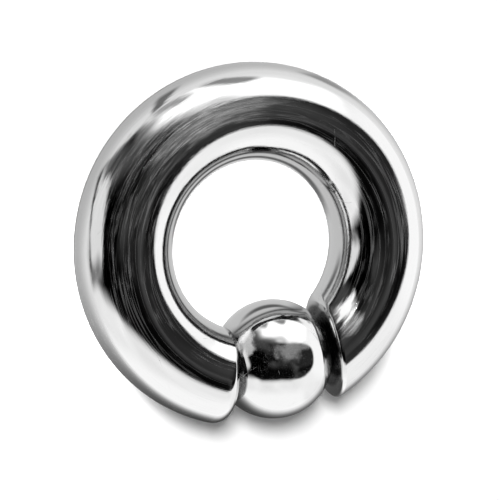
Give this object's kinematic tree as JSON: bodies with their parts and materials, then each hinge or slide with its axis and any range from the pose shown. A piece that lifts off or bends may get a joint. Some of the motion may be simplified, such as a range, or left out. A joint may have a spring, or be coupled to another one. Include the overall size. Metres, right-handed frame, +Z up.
{
  "type": "captive bead ring",
  "caption": "Heavy-gauge captive bead ring for body jewellery: an open round-bar steel ring whose cupped ends hold a loose steel ball.",
  "frame": {"origin": "on the surface that the ring lies on, right below the point where the ring's axis crosses the plane of the bar; the box is centred on it to 0.15 mm", "axes": "+Z up, away from the surface; the bead is towards -Y and the closed side of the bar towards +Y; +X runs through both ends of the bar, to the squarely cut one. The ring's own axis leans 2.7 degrees from +Z about X, because the bead is thicker than the bar"},
  "size_m": [0.0302, 0.0299, 0.01],
  "materials": {
    "ring_steel": "mirror-polished stainless steel with fine polishing streaks along the bar",
    "bead_steel": "mirror-polished stainless steel, lightly worn"
  },
  "bodies": {
    "ring": {"open_ring": "ring_steel"},
    "bead": {"captive_bead": "bead_steel"}
  },
  "joints": [
    {"name": "bead_spin", "type": "hinge", "parent": "ring", "child": "bead", "pos_m": [0, -0.00979, 0.005], "axis": [1, 0, 0], "continuous": true}
  ]
}
